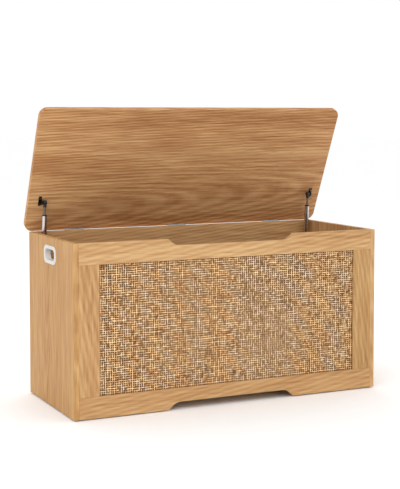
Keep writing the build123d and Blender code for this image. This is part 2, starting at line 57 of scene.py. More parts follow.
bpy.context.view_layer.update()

# A wave texture of scale one repeats after this length
WAVE_PERIOD = 0.314

Stop = tuple[float, str]
Span = tuple[float, float]
Triple = tuple[float, float, float]
Socket = bpy.types.NodeSocket
Tree = bpy.types.NodeTree
Object = bpy.types.Object
Material = bpy.types.Material


# Colour and node helpers


def linear(code: str) -> tuple[float, float, float, float]:
    """Turn an sRGB hex colour into linear light.

    Args:
        code: Six hex digits, red first.

    Returns:
        Red, green, blue and an alpha of one.
    """
    shares = [int(code[i : i + 2], 16) / 255 for i in (0, 2, 4)]
    # The sRGB curve is straight near black and a power above it
    light = [s / 12.92 if s <= 0.04045 else ((s + 0.055) / 1.055) ** 2.4 for s in shares]
    return light[0], light[1], light[2], 1.0


def put(
    tree: Tree,
    kind: str,
    values: Mapping[str | int, object] | None = None,
    links: Mapping[str | int, Socket] | None = None,
    stops: Sequence[Stop] = (),
    **settings: object,
) -> bpy.types.Node:
    """Add a node with its settings, socket values and incoming links.

    Args:
        tree: The node tree that gets the node.
        kind: The node's type, without its ShaderNode prefix.
        values: Fixed values by input name or number.
        links: Sources by input name or number.
        stops: Positions and hex colours of a colour ramp.
        **settings: Properties set on the node itself.

    Returns:
        The new node.
    """
    node = tree.nodes.new("ShaderNode" + kind)
    for name, value in settings.items():
        setattr(node, name, value)
    for name, value in (values or {}).items():
        node.inputs[name].default_value = value
    for name, source in (links or {}).items():
        tree.links.new(source, node.inputs[name])
    if stops:
        elements = node.color_ramp.elements
        while len(elements) < len(stops):
            elements.new(0.5)
        for element, (position, code) in zip(elements, stops):
            element.position = position
            element.color = linear(code)
    return node


def new_material(name: str) -> tuple[Material, Tree, bpy.types.Node]:
    """Start a material that holds only a shader and its output.

    Args:
        name: The finish's name.

    Returns:
        The material, its node tree and its Principled shader.
    """
    material = bpy.data.materials.new(name)
    material.use_nodes = True
    tree = material.node_tree
    tree.nodes.clear()
    shader = put(tree, "BsdfPrincipled")
    put(tree, "OutputMaterial", links={"Surface": shader.outputs["BSDF"]})
    return material, tree, shader


def tinted(tree: Tree, share: Socket, base: Socket, code: str) -> Socket:
    """Lay a fixed colour over a pattern by a share.

    Args:
        tree: The node tree that gets the mix.
        share: How much of the fixed colour shows.
        base: The pattern's colour.
        code: The fixed colour's six hex digits.

    Returns:
        The mixed colour.
    """
    mix = put(tree, "Mix", links={0: share, 6: base}, data_type="RGBA")
    mix.inputs[7].default_value = linear(code)
    return mix.outputs[2]


def ramp(tree: Tree, source: Socket, stops: Sequence[Stop]) -> Socket:
    """Pass a value through a colour ramp and return the colour."""
    return put(tree, "ValToRGB", links={"Fac": source}, stops=stops).outputs["Color"]


def stretched(tree: Tree, point: Socket, scale: Sequence[float], turn: Sequence[float] = (0, 0, 0)) -> Socket:
    """Scale a pattern's point by its own factor on each axis, after an optional turn."""
    values = {"Scale": tuple(scale), "Rotation": tuple(turn)}
    return put(tree, "Mapping", values=values, links={"Vector": point}).outputs["Vector"]


def noise(tree: Tree, point: Socket, scale: float, detail: float = 2.0, rough: float = 0.5) -> Socket:
    """Return a cloudy value between nought and one at a pattern's point."""
    values = {"Scale": scale, "Detail": detail, "Roughness": rough}
    return put(tree, "TexNoise", values=values, links={"Vector": point}).outputs["Fac"]


def remap(tree: Tree, source: Socket, old: Span, new: Span) -> Socket:
    """Carry a value from one range to another, held at both ends."""
    values = {"From Min": old[0], "From Max": old[1], "To Min": new[0], "To Max": new[1]}
    return put(tree, "MapRange", values=values, links={"Value": source}).outputs["Result"]


def blend(tree: Tree, share: float, base: Socket, other: Socket) -> Socket:
    """Mix a fixed share of another value into a base value."""
    return put(tree, "Mix", values={0: share}, links={2: base, 3: other}).outputs[0]


def add_bump(tree: Tree, shader: bpy.types.Node, height: Socket, depth: float, strength: float) -> None:
    """Raise the surface by a pattern.

    Args:
        tree: The node tree that gets the bump.
        shader: The shader whose normal is bent.
        height: The pattern.
        depth: The pattern's real depth in metres.
        strength: How much of that depth shows.
    """
    values = {"Distance": depth, "Strength": strength}
    bump = put(tree, "Bump", values=values, links={"Height": height})
    tree.links.new(bump.outputs["Normal"], shader.inputs["Normal"])


# Finishes


class Grain(Enum):
    """The way a board's grain runs, as the turn that takes X to it."""

    SIDEWAYS = (0.0, 0.0, 0.0)
    UPRIGHT = (0.0, -pi / 2, 0.0)


@dataclass(frozen=True)
class OakLaminate:
    """Oak-print melamine on board: a satin skin with long streaks, faint rings and fine pores.

    The print repeats nothing along a board, each board is cut from another part of it, and the
    skin is smooth, so the eye reads the wood by its colour and only a soft sheen by its surface.
    """

    name: str
    grain: Grain
    heart: Triple
    tilt: float = 0.0
    # The left side and the right stile are given darker stops than these, as painted shade.
    streak_colours: tuple[Stop, ...] = (
        (0.35, "A97C4D"),
        (0.45, "BD9161"),
        (0.55, "C9A06E"),
        (0.65, "D6B07F"),
    )
    warm_colour: str = "B37F52"
    pore_colour: str = "7E5330"
    ring_spacing: float = 8.5 * MM
    ring_lean: Triple = (0.0, radians(4.0), radians(5.0))
    streak_rates: Triple = (7.0, 130.0, 130.0)
    band_rates: Triple = (1.0, 16.0, 16.0)
    patch_rates: Triple = (2.2, 17.0, 17.0)
    sway_rates: Triple = (1.6, 9.0, 9.0)
    sway_reach: float = 10 * MM
    pore_width: float = 2.6 * MM
    pore_rate_along: float = 16.0
    pore_depth: float = 0.08 * MM

    def material(self) -> Material:
        """Build the laminate for one board.

        Returns:
            The finished material.
        """
        material, tree, shader = new_material(self.name)
        here = put(tree, "TexCoord").outputs["Object"]
        about_x, about_y, about_z = self.grain.value
        lay = put(
            tree,
            "Mapping",
            values={"Location": self.heart, "Rotation": (about_x - self.tilt, about_y, about_z)},
            links={"Vector": here},
            vector_type="TEXTURE",
        ).outputs["Vector"]
        wavy = self._sway(tree, lay)

        streaks = noise(tree, stretched(tree, wavy, self.streak_rates), 1.0, 4.0, 0.6)
        bands = noise(tree, stretched(tree, lay, self.band_rates), 1.0, 1.0)
        leaning = stretched(tree, wavy, (1, 1, 1), self.ring_lean)
        rings = put(
            tree,
            "TexWave",
            values={"Scale": WAVE_PERIOD / self.ring_spacing, "Distortion": 1.6, "Detail": 2.0},
            links={"Vector": leaning},
            wave_type="RINGS",
            rings_direction="X",
        ).outputs["Fac"]
        banded = blend(tree, 0.4, streaks, bands)
        toned = blend(tree, 0.1, banded, rings)
        printed = ramp(tree, toned, self.streak_colours)

        patches = noise(tree, stretched(tree, lay, self.patch_rates), 1.0, 2.0)
        patch_share = remap(tree, patches, (0.5, 0.75), (0.0, 0.5))
        warmed = tinted(tree, patch_share, printed, self.warm_colour)

        # Real pores are a third of a millimetre wide; they are drawn wider so that they show
        pore_rates = (self.pore_rate_along, 1 / self.pore_width, 1 / self.pore_width)
        pore_field = noise(tree, stretched(tree, wavy, pore_rates), 1.0, 1.0)
        pores = remap(tree, pore_field, (0.56, 0.72), (0.0, 0.3))
        coloured = tinted(tree, pores, warmed, self.pore_colour)
        tree.links.new(coloured, shader.inputs["Base Color"])

        sheen = remap(tree, pore_field, (0.0, 1.0), (0.5, 0.62))
        tree.links.new(sheen, shader.inputs["Roughness"])
        shader.inputs["IOR"].default_value = 1.5
        shader.inputs["Specular IOR Level"].default_value = 0.22
        add_bump(tree, shader, pore_field, self.pore_depth, 0.5)
        return material

    def _sway(self, tree: Tree, lay: Socket) -> Socket:
        """Bend the grain's straight lines a little to either side."""
        cloud = put(
            tree,
            "TexNoise",
            values={"Scale": 1.0, "Detail": 2.0},
            links={"Vector": stretched(tree, lay, self.sway_rates)},
        ).outputs["Color"]
        centred = put(
            tree,
            "VectorMath",
            values={1: (0.5, 0.5, 0.5)},
            links={0: cloud},
            operation="SUBTRACT",
        ).outputs[0]
        pushed = put(
            tree,
            "VectorMath",
            values={1: (0.0, self.sway_reach, self.sway_reach)},
            links={0: centred},
            operation="MULTIPLY",
        ).outputs[0]
        return put(tree, "VectorMath", links={0: lay, 1: pushed}, operation="ADD").outputs[0]


@dataclass(frozen=True)
class CaneStrand:
    """Split rattan core: straw-coloured strands with long fibres, each strand its own tone."""

    name: str
    upright: bool
    pitch: float
    colours: tuple[Stop, ...] = (
        (0.37, "8F6037"),
        (0.46, "C39360"),
        (0.54, "EDC08B"),
        (0.63, "FFE3B6"),
    )
    tone_rate_along: float = 80.0
    patch_rate: float = 34.0
    fibre_rates: Triple = (3400.0, 900.0, 160.0)

    def material(self) -> Material:
        """Build the finish of the strands that run one way.

        Returns:
            The finished material.
        """
        material, tree, shader = new_material(self.name)
        here = put(tree, "TexCoord").outputs["Object"]
        tone_rates = self._laid((1 / self.pitch, 1.0, self.tone_rate_along))
        tone = noise(tree, stretched(tree, here, tone_rates), 1.0, 2.0, 0.55)
        patch = noise(tree, here, self.patch_rate, 2.0)
        mixed = blend(tree, 0.08, tone, patch)
        fibres = noise(tree, stretched(tree, here, self._laid(self.fibre_rates)), 1.0, 1.0)
        streaked = blend(tree, 0.12, mixed, fibres)
        tree.links.new(ramp(tree, streaked, self.colours), shader.inputs["Base Color"])
        shader.inputs["Roughness"].default_value = 0.55
        shader.inputs["Specular IOR Level"].default_value = 0.35
        add_bump(tree, shader, fibres, 0.15 * MM, 0.6)
        return material

    def _laid(self, rates: Triple) -> Triple:
        """Order rates given across, into and along a strand by the axes X, Y and Z."""
        across, into, along = rates
        return (across, into, along) if self.upright else (along, into, across)


@dataclass(frozen=True)
class HardboardWithPaintedShade:
    """Tempered hardboard, dull, closing the weave from behind; its own dark brown is deepened to near black
    as painted shade in the gaps between the strands.
    """

    name: str = "tempered_hardboard"

    def material(self) -> Material:
        """Build the fibreboard's finish."""
        material, tree, shader = new_material(self.name)
        here = put(tree, "TexCoord").outputs["Object"]
        fibres = noise(tree, here, 420.0, 3.0, 0.7)
        # Near black: the board's own dark brown deepened as painted shade for the gaps of the weave.
        colour = ramp(tree, fibres, ((0.35, "0C0603"), (0.65, "1A0E06")))
        tree.links.new(colour, shader.inputs["Base Color"])
        shader.inputs["Roughness"].default_value = 0.8
        add_bump(tree, shader, fibres, 0.1 * MM, 0.5)
        return material


@dataclass(frozen=True)
class Beech:
    """Planed beech: pale, fine and even, with the short dark flecks of its rays."""

    name: str = "planed_beech"

    def material(self) -> Material:
        """Build the planed hardwood's finish."""
        material, tree, shader = new_material(self.name)
        here = put(tree, "TexCoord").outputs["Object"]
        bands = noise(tree, stretched(tree, here, (6, 160, 160)), 1.0, 3.0)
        base = ramp(tree, bands, ((0.3, "C49A6C"), (0.7, "DCB88A")))
        flecks = noise(tree, stretched(tree, here, (220, 900, 900)), 1.0, 0.0)
        share = remap(tree, flecks, (0.62, 0.7), (0.0, 0.45))
        tree.links.new(tinted(tree, share, base, "8F6238"), shader.inputs["Base Color"])
        shader.inputs["Roughness"].default_value = 0.5
        add_bump(tree, shader, bands, 0.05 * MM, 0.4)
        return material


@dataclass(frozen=True)
class MouldedPlastic:
    """Injection-moulded plastic: a fine spark-eroded mat that spreads the highlight."""

    name: str
    dark: str
    light: str
    roughness: Span
    mat_rate: float = 1500.0

    def material(self) -> Material:
        """Build the moulded finish."""
        material, tree, shader = new_material(self.name)
        here = put(tree, "TexCoord").outputs["Object"]
        flow = noise(tree, here, 45.0, 3.0)
        colour = ramp(tree, flow, ((0.3, self.dark), (0.7, self.light)))
        tree.links.new(colour, shader.inputs["Base Color"])
        mat = noise(tree, here, self.mat_rate, 2.0, 0.6)
        gloss = remap(tree, mat, (0.3, 0.7), self.roughness)
        tree.links.new(gloss, shader.inputs["Roughness"])
        shader.inputs["IOR"].default_value = 1.49
        add_bump(tree, shader, mat, 0.03 * MM, 0.5)
        return material


@dataclass(frozen=True)
class PlatedSteel:
    """Steel under a thin bright plate: zinc is cloudy and bluish, chrome is deep and nearly clear."""

    name: str
    dark: str
    light: str
    roughness: Span
    rates: Triple
    edge: str = "FFFFFF"

    def material(self) -> Material:
        """Build the plated finish."""
        material, tree, shader = new_material(self.name)
        here = put(tree, "TexCoord").outputs["Object"]
        cloud = noise(tree, stretched(tree, here, self.rates), 1.0, 3.0, 0.6)
        colour = ramp(tree, cloud, ((0.3, self.dark), (0.7, self.light)))
        tree.links.new(colour, shader.inputs["Base Color"])
        gloss = remap(tree, cloud, (0.3, 0.7), self.roughness)
        tree.links.new(gloss, shader.inputs["Roughness"])
        shader.inputs["Metallic"].default_value = 1.0
        shader.inputs["Specular Tint"].default_value = linear(self.edge)
        add_bump(tree, shader, cloud, 0.02 * MM, 0.4)
        return material


def dress(nodes: Iterable[str], material: Material) -> None:
    """Give CAD nodes one finish and report each.

    Args:
        nodes: Names of the nodes.
        material: The finish.
    """
    for name in nodes:
        mesh = frame["nodes"][name].data
        mesh.materials.clear()
        mesh.materials.append(material)
        LOG.info("%s: %s", name, material.name)


# Hand-modelling helpers


def rest_hands() -> None:
    """Leave edit mode and let go of every object."""
    if bpy.context.mode != "OBJECT":
        bpy.ops.object.mode_set(mode="OBJECT")
    bpy.ops.object.select_all(action="DESELECT")


def take(piece: Object) -> None:
    """Make one piece the selected and active object."""
    rest_hands()
    piece.select_set(True)
    bpy.context.view_layer.objects.active = piece


def name_active(name: str) -> Object:
    """Name the object that was just added, and its mesh, and return it."""
    piece = bpy.context.active_object
    piece.name = name
    piece.data.name = name
    return piece


def settle(piece: Object) -> None:
    """Put a piece's place, turn and size into its mesh."""
    take(piece)
    bpy.ops.object.transform_apply(location=True, rotation=True, scale=True)


def apply_modifier(piece: Object, kind: str, **settings: object) -> None:
    """Add one modifier to a piece and apply it.

    Args:
        piece: The piece that is changed.
        kind: The modifier's type.
        **settings: The modifier's properties.
    """
    take(piece)
    modifier = piece.modifiers.new(kind.lower(), kind)
    for name, value in settings.items():
        setattr(modifier, name, value)
    bpy.ops.object.modifier_apply(modifier=modifier.name)


def copy_of(piece: Object, name: str, place: Matrix) -> Object:
    """Copy a piece with its own mesh to another place.

    Args:
        piece: The piece that is copied.
        name: The copy's name.
        place: Where the copy goes.

    Returns:
        The copy, with its place in its mesh.
    """
    twin = piece.copy()
    twin.data = piece.data.copy()
    twin.name = name
    bpy.context.scene.collection.objects.link(twin)
    twin.data.transform(place)
    return twin


def join_all(pieces: Sequence[Object], name: str) -> Object:
    """Join pieces into the first of them, under a new name."""
    rest_hands()
    for piece in pieces:
        piece.select_set(True)
    bpy.context.view_layer.objects.active = pieces[0]
    bpy.ops.object.join()
    return name_active(name)


def finish_piece(piece: Object, body: str, material: Material, nodes: Sequence[str]) -> None:
    """Dress a new piece, seat it on its body and report it.

    Args:
        piece: The new piece.
        body: The CAD body that it moves with.
        material: Its finish.
        nodes: The CAD nodes that it stands for.
    """
    piece.data.materials.clear()
    piece.data.materials.append(material)
    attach(piece, body)
    if nodes:
        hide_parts(*nodes)
    LOG.info("%s: %s, %d faces", piece.name, material.name, len(piece.data.polygons))


# Sub-assemblies


LID_COLOURS = (
    (0.36, "9A673C"),
    (0.46, "B38052"),
    (0.54, "C39463"),
    (0.64, "D6AA77"),
)
# Darker, warmer copy of the laminate's colours for the left side: painted shade that holds down the pale
# sheen the white surround lays on that face.
SHADED_SIDE_COLOURS = (
    (0.35, "A27342"),
    (0.45, "B68753"),
    (0.55, "C29760"),
    (0.65, "D0A770"),
)
# Darker copy of the laminate's colours for the right stile: painted shade, since the lamps on the left light
# it less.
SHADED_STILE_COLOURS = (
    (0.35, "9C7042"),
    (0.45, "AF8453"),
    (0.55, "BA925F"),
    (0.65, "C8A26F"),
)


@dataclass
class Boards:
    """The carcass boards, the front frame and the lid, each cut from its own stretch of print; the left side
    and the right stile also carry painted shade in darker colours.
    """

    lid_angle: float

    def dress(self) -> None:
        """Give every board its laminate."""
        finishes = {
            "left_side": OakLaminate(
                "oak_left_side", Grain.UPRIGHT, (-0.43, 0.04, 0.1), streak_colours=SHADED_SIDE_COLOURS
            ),
            "right_side": OakLaminate("oak_right_side", Grain.UPRIGHT, (0.42, -0.05, 1.9)),
            "back_panel": OakLaminate("oak_back_panel", Grain.SIDEWAYS, (4.3, 0.14, 0.2)),
            "bottom_panel": OakLaminate("oak_bottom_panel", Grain.SIDEWAYS, (6.2, 0.02, -0.05)),
            "front_top_rail": OakLaminate("oak_top_rail", Grain.SIDEWAYS, (8.4, -0.12, 0.4)),
            "front_bottom_rail": OakLaminate("oak_bottom_rail", Grain.SIDEWAYS, (10.1, -0.14, 0.08)),
            "front_left_stile": OakLaminate("oak_left_stile", Grain.UPRIGHT, (-0.46, -0.13, 3.1)),
            "front_right_stile": OakLaminate(
                "oak_right_stile", Grain.UPRIGHT, (0.44, -0.12, 5.3), streak_colours=SHADED_STILE_COLOURS
            ),
            "lid": OakLaminate(
                "oak_lid",
                Grain.SIDEWAYS,
                (0.1, 0.24, 0.62),
                tilt=self.lid_angle,
                streak_colours=LID_COLOURS,
                warm_colour="9A5F36",
                streak_rates=(9.0, 190.0, 190.0),
            ),
        }
        for node, finish in finishes.items():
            dress([node], finish.material())


@dataclass
class WovenFront:
    """The rattan panel: upright and level strands that pass over and under each other."""

    pitch_across: float = 6.7 * MM
    pitch_up: float = 6.4 * MM
    strand_width: float = 2.6 * MM
    strand_rise: float = 0.85 * MM
    wave: float = 0.45 * MM
    wobble: float = 2.2 * MM
    wobble_size: float = 22 * MM
    fray: float = 1.1 * MM
    fray_size: float = 4 * MM
    fray_depth_share: float = 0.35

    def strand(self, name: str, waves: int, side: float, step: float) -> Object:
        """Model one level strand from its first wave.

        Args:
            name: The strand's name.
            waves: How many times it goes over and under.
            side: One if it starts in front, minus one if it starts behind.
            step: How far it runs from one crossing to the next.

        Returns:
            The strand, running along X from the origin and crowned towards -Y.
        """
        rest_hands()
        bpy.ops.mesh.primitive_circle_add(vertices=8, radius=1.0, rotation=(pi / 2, 0, pi / 2))
        piece = name_active(name)
        settle(piece)
        bpy.ops.object.mode_set(mode="EDIT")
        bpy.ops.mesh.select_mode(type="VERT")
        form = bmesh.from_edit_mesh(piece.data)
        # The half that looks towards -Y stays, with the two corners where it ends
        for vertex in form.verts:
            vertex.select_set(vertex.co.y > 0.1)
        form.select_flush(False)
        bmesh.update_edit_mesh(piece.data)
        bpy.ops.mesh.delete(type="VERT")
        self._close_profile(piece)
        bpy.ops.mesh.select_all(action="SELECT")
        half = self.strand_width / 2
        bpy.ops.transform.resize(value=(1.0, self.strand_rise, half), center_override=(0, 0, 0))
        # One wave, as shares of a step and the side that each of them ends on
        steps = (
            (0.25, -side),
            (0.5, -side),
            (0.5, side),
            (0.5, side),
            (0.25, 0),
        )
        lift = 0.0
        for length, height in steps:
            rise = height * self.wave - lift
            lift += rise
            move = {"value": (length * step, rise, 0)}
            bpy.ops.mesh.extrude_edges_move(TRANSFORM_OT_translate=move)
        bpy.ops.object.mode_set(mode="OBJECT")
        apply_modifier(
            piece,
            "ARRAY",
            count=waves,
            use_relative_offset=False,
            use_constant_offset=True,
            constant_offset_displace=(2 * step, 0, 0),
            use_merge_vertices=True,
            merge_threshold=0.01 * MM,
        )
        take(piece)
        bpy.ops.object.mode_set(mode="EDIT")
        bpy.ops.mesh.select_all(action="SELECT")
        bpy.ops.mesh.fill_holes(sides=0)
        bpy.ops.mesh.select_all(action="SELECT")
        bpy.ops.mesh.normals_make_consistent(inside=False)
        bpy.ops.object.mode_set(mode="OBJECT")
        return piece

    def _close_profile(self, piece: Object) -> None:
        """Join the two open ends of the half-round profile."""
        form = bmesh.from_edit_mesh(piece.data)
        for vertex in form.verts:
            vertex.select_set(len(vertex.link_edges) == 1)
        form.select_flush(False)
        bmesh.update_edit_mesh(piece.data)
        bpy.ops.mesh.edge_face_add()

    def layer(
        self, name: str, waves: int, count: int, step: float, spacing: float, place: Matrix
    ) -> Object:
        """Lay strands side by side, every second one passing the other way.

        Args:
            name: The layer's name.
            waves: Waves along each strand.
            count: Pairs of strands in the layer.
            step: How far a strand runs from one crossing to the next.
            spacing: How far apart the strands lie.
            place: Where the first strand starts and which way it runs.

        Returns:
            The layer of strands.
        """
        over = self.strand(name + "_over", waves, 1.0, step)
        under = self.strand(name + "_under", waves, -1.0, step)
        under.data.transform(Matrix.Translation((0, 0, spacing)))
        layer = join_all([over, under], name)
        apply_modifier(
            layer,
            "ARRAY",
            count=count,
            use_relative_offset=False,
            use_constant_offset=True,
            constant_offset_displace=(0, 0, 2 * spacing),
        )
        layer.data.transform(place)
        return layer

    def roughen(self, layer: Object) -> None:
        """Push the strands about as a hand weaver leaves them.

        Args:
            layer: A layer of strands in its place.
        """
        # The shift lets each push read another part of the clouds
        for axis, size, strength, shift in (
            ("X", self.wobble_size, self.wobble, 0.0),
            ("Z", self.wobble_size, self.wobble, 3.0),
            ("X", self.fray_size, self.fray, 7.0),
            ("Z", self.fray_size, self.fray, 9.0),
            ("Y", self.fray_size, self.fray * self.fray_depth_share, 5.0),
        ):
            texture = bpy.data.textures.new("weave_" + axis, "CLOUDS")
            texture.noise_scale = size
            texture.noise_depth = 1
            layer.data.transform(Matrix.Translation((shift, 0, 0)))
            apply_modifier(
                layer,
                "DISPLACE",
                texture=texture,
                texture_coords="LOCAL",
                direction=axis,
                strength=strength,
                mid_level=0.5,
            )
            layer.data.transform(Matrix.Translation((-shift, 0, 0)))
            bpy.data.textures.remove(texture)

    def trim(self, layer: Object, low: Vector, high: Vector) -> None:
        """Cut a layer off square at the panel's four edges and turn its faces outwards.

        Args:
            layer: The layer of strands.
            low: The panel's lowest corner.
            high: The panel's highest corner.
        """
        take(layer)
        bpy.ops.object.mode_set(mode="EDIT")
        cuts = (
            (low, (-1, 0, 0)),
            (high, (1, 0, 0)),
            (low, (0, 0, -1)),
            (high, (0, 0, 1)),
        )
        for corner, normal in cuts:
            bpy.ops.mesh.select_all(action="SELECT")
            bpy.ops.mesh.bisect(
                plane_co=tuple(corner),
                plane_no=normal,
                use_fill=True,
                clear_outer=True,
            )
        bpy.ops.mesh.select_all(action="SELECT")
        bpy.ops.mesh.normals_make_consistent(inside=False)
        bpy.ops.object.mode_set(mode="OBJECT")

    def build(self) -> None:
        """Weave the panel in the space of its CAD solid.

        The steps divide the panel evenly, so that its edges fall midway between two strands.
        """
        low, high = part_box("rattan_panel")
        middle = (low + high) / 2
        runs = {
            "level": (high.x - low.x, self.pitch_across),
            "upright": (high.z - low.z, self.pitch_up),
        }
        pairs = {way: round(length / (2 * pitch)) for way, (length, pitch) in runs.items()}
        steps = {way: length / (2 * pairs[way]) for way, (length, _) in runs.items()}
        waves = {way: count + 1 for way, count in pairs.items()}
        for way, other in (("level", "upright"), ("upright", "level")):
            upright = way == "upright"
            start = self._start(middle, waves, steps, upright)
            layer = self.layer(
                f"rattan_{way}_strands", waves[way], waves[other], steps[way], steps[other], start
            )
            self.roughen(layer)
            self.trim(layer, low, high)
            take(layer)
            bpy.ops.object.shade_smooth_by_angle(angle=radians(70))
            finish = CaneStrand(f"split_rattan_{way}", upright, steps[other])
            finish_piece(layer, "case", finish.material(), ["rattan_panel"])

    def _start(
        self, middle: Vector, waves: Mapping[str, int], steps: Mapping[str, float], upright: bool
    ) -> Matrix:
        """Place the first strand so that the whole weave is centred on the panel."""
        across = waves["level"] * steps["level"]
        height = waves["upright"] * steps["upright"]
        if not upright:
            lowest = middle.z - height + steps["upright"] / 2
            return Matrix.Translation((middle.x - across, middle.y, lowest))
        leftmost = middle.x - across + steps["level"] / 2
        swap = Matrix(((0, 0, 1, 0), (0, 1, 0, 0), (1, 0, 0, 0), (0, 0, 0, 1)))
        return Matrix.Translation((leftmost, middle.y, middle.z - height)) @ swap


@dataclass
class Screws:
    """Countersunk cross-head screws in the hinge leaves and the strut brackets."""

    head_radius: float = 3.0 * MM
    shank_radius: float = 1.6 * MM
    head_height: float = 1.5 * MM
    length: float = 12.0 * MM
    recess_length: float = 3.4 * MM
    recess_width: float = 0.8 * MM
    recess_depth: float = 1.2 * MM
    recess_taper: float = 0.5
    tip_ratio: float = 0.15
    turn_between: float = 0.7
    face_tolerance: float = 0.05 * MM
    weld_distance: float = 0.001 * MM
    homes: dict[str, str] = field(
        default_factory=lambda: {
            "hinge_case_screws": "case",
            "hinge_lid_screws": "lid",
            "strut_case_screws": "case",
            "strut_lid_screws": "lid",
        }
    )

    def model(self) -> Object:
        """Model one screw with its head at the origin, driven towards -Z.

        Returns:
            The screw.
        """
        rest_hands()
        bpy.ops.mesh.primitive_cylinder_add(
            vertices=20,
            radius=self.head_radius,
            depth=self.head_height,
            location=(0, 0, -self.head_height / 2),
        )
        screw = name_active("screw")
        settle(screw)
        bpy.ops.object.mode_set(mode="EDIT")
        self._select_below(screw, -self.head_height / 2)
        ratio = self.shank_radius / self.head_radius
        bpy.ops.transform.resize(value=(ratio, ratio, 1), center_override=(0, 0, -self.head_height))
        shank = self.length - self.head_height - 2 * self.shank_radius
        move = {"value": (0, 0, -shank)}
        bpy.ops.mesh.extrude_region_move(TRANSFORM_OT_translate=move)
        move = {"value": (0, 0, -2 * self.shank_radius)}
        bpy.ops.mesh.extrude_region_move(TRANSFORM_OT_translate=move)
        tip = (self.tip_ratio, self.tip_ratio, 1)
        bpy.ops.transform.resize(value=tip, center_override=(0, 0, -self.length))
        bpy.ops.object.mode_set(mode="OBJECT")
        for angle in (0, pi / 2):
            self._cut_slot(screw, angle)
        take(screw)
        bpy.ops.object.shade_smooth_by_angle(angle=radians(30))
        return screw

    def _select_below(self, screw: Object, height: float) -> None:
        """Select the faces and edges whose every corner is below a height."""
        bpy.ops.mesh.select_mode(type="VERT")
        form = bmesh.from_edit_mesh(screw.data)
        for vertex in form.verts:
            vertex.select_set(vertex.co.z < height)
        form.select_flush(True)
        bmesh.update_edit_mesh(screw.data)
        bpy.ops.mesh.select_mode(type="FACE")

    def _cut_slot(self, screw: Object, angle: float) -> None:
        """Cut one arm of the cross recess, narrower at its bottom."""
        rest_hands()
        bpy.ops.mesh.primitive_cube_add(size=1.0, rotation=(0, 0, angle))
        cutter = name_active("slot_cutter")
        depth = 2 * self.recess_depth
        cutter.scale = (self.recess_length, self.recess_width, depth)
        settle(cutter)
        bpy.ops.object.mode_set(mode="EDIT")
        self._select_below(cutter, 0)
        bpy.ops.transform.resize(value=(self.recess_taper, self.recess_taper, 1))
        bpy.ops.object.mode_set(mode="OBJECT")
        apply_modifier(screw, "BOOLEAN", object=cutter, operation="DIFFERENCE", solver="EXACT")
        bpy.data.objects.remove(cutter)

    def places(self, node: str) -> list[tuple[Vector, Vector]]:
        """Find each screw of a CAD node.

        Args:
            node: The node's name.

        Returns:
            The middle of each head's face and the way that face looks.
        """
        form = bmesh.new()
        form.from_mesh(frame["nodes"][node].data)
        bmesh.ops.remove_doubles(form, verts=form.verts, dist=self.weld_distance)
        found = []
        waiting = set(form.verts)
        while waiting:
            island = self._island(min(waiting, key=lambda vertex: vertex.index))
            waiting -= island
            points = np.array([vertex.co for vertex in island])
            centre = (points.max(0) + points.min(0)) / 2
            _, _, axes = np.linalg.svd(points - points.mean(0), full_matrices=False)
            heights = (points - centre) @ axes[0]
            spread = np.linalg.norm(points - centre - np.outer(heights, axes[0]), axis=1)
            way = 1.0 if heights[spread.argmax()] > 0 else -1.0
            on_face = np.abs(heights - (way * heights).max() * way) < self.face_tolerance
            facing = Vector(axes[0]) * way
            found.append((Vector(points[on_face].mean(0)), facing))
        form.free()
        return found

    def _island(self, start: bmesh.types.BMVert) -> set[bmesh.types.BMVert]:
        """Collect every corner that is joined to one corner."""
        island = {start}
        reached = [start]
        while reached:
            vertex = reached.pop()
            for edge in vertex.link_edges:
                other = edge.other_vert(vertex)
                if other not in island:
                    island.add(other)
                    reached.append(other)
        return island

    def build(self, material: Material) -> None:
        """Put a screw at every place and seat each set on its body.

        Args:
            material: The screws' finish.
        """
        screw = self.model()
        for node, body in self.homes.items():
            copies = []
            for number, (head, facing) in enumerate(self.places(node)):
                turn = facing.to_track_quat("Z", "Y").to_matrix().to_4x4()
                twist = Matrix.Rotation(self.turn_between * number, 4, "Z")
                place = Matrix.Translation(head) @ turn @ twist
                copies.append(copy_of(screw, f"{node}_{number}", place))
            piece = join_all(copies, f"cross_head_{node}")
            finish_piece(piece, body, material, [node])
        bpy.data.objects.remove(screw)


